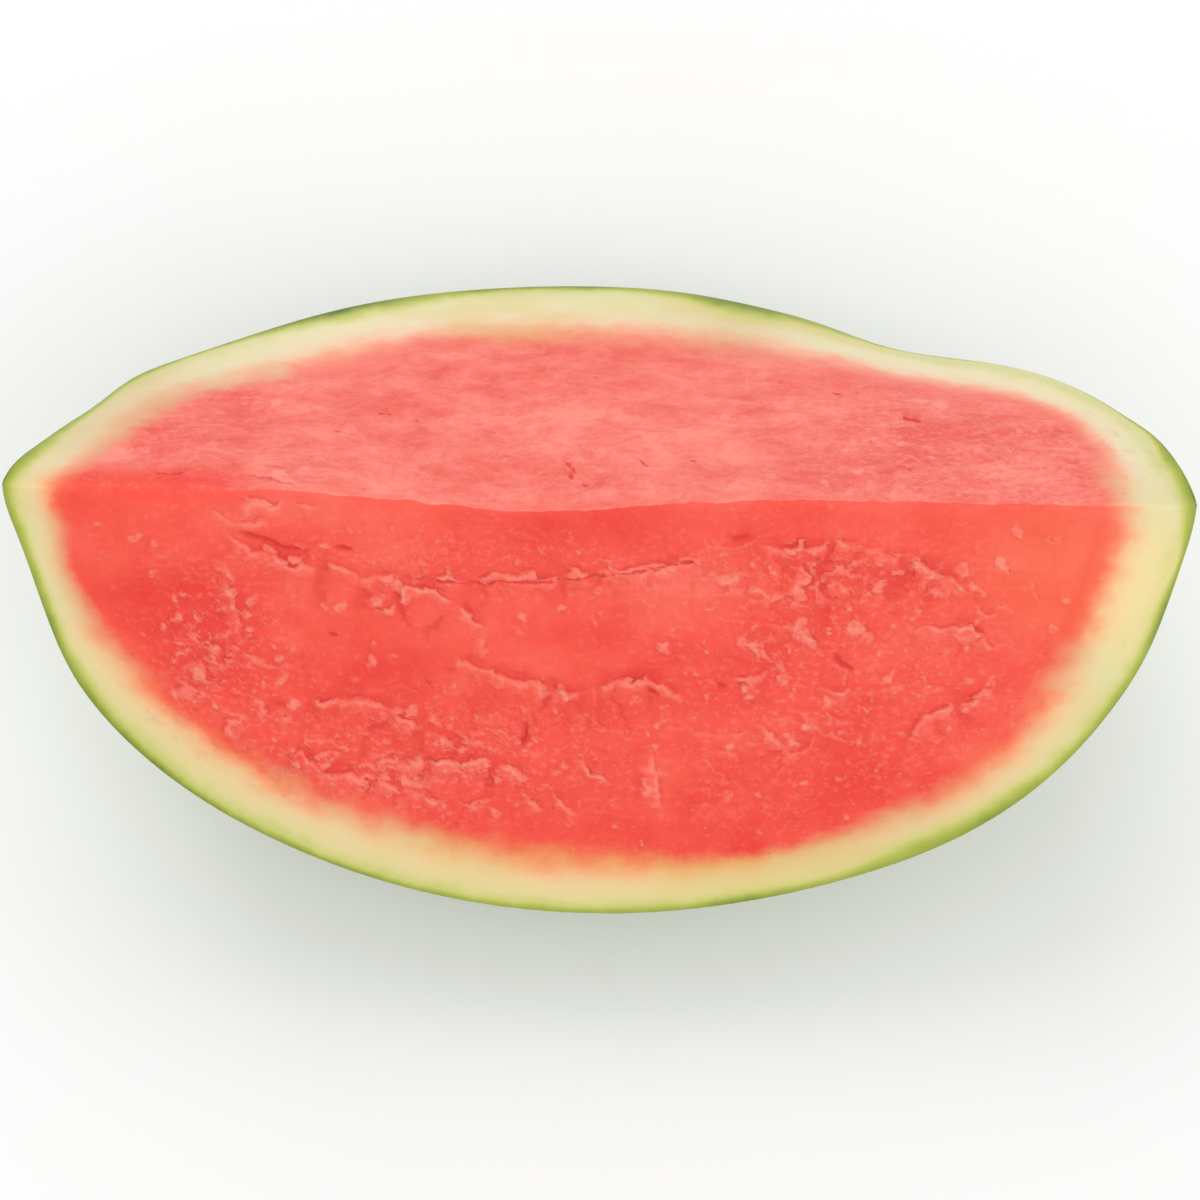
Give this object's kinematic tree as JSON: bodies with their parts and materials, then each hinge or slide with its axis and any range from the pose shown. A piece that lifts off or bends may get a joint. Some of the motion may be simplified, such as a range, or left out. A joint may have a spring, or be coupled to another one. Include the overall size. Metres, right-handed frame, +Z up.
{
  "type": "watermelon wedge",
  "caption": "A long watermelon wedge with torn red flesh, pale rind and green striped skin, lying on its skin with the ridge of its two cuts on top.",
  "frame": {"origin": "the middle of the bottom of the wedge, where it rests on a small flat spot of its skin", "axes": "+X along the ridge towards the blunt end of the melon, -Y the side of the torn front cut, +Z up from the skin to the ridge"},
  "size_m": [0.3, 0.1823, 0.1246],
  "materials": {
    "watermelon": "wet cut flesh, pale rind and waxy green skin on one grown piece"
  },
  "bodies": {
    "root": {"watermelon_wedge": "watermelon"}
  },
  "joints": []
}
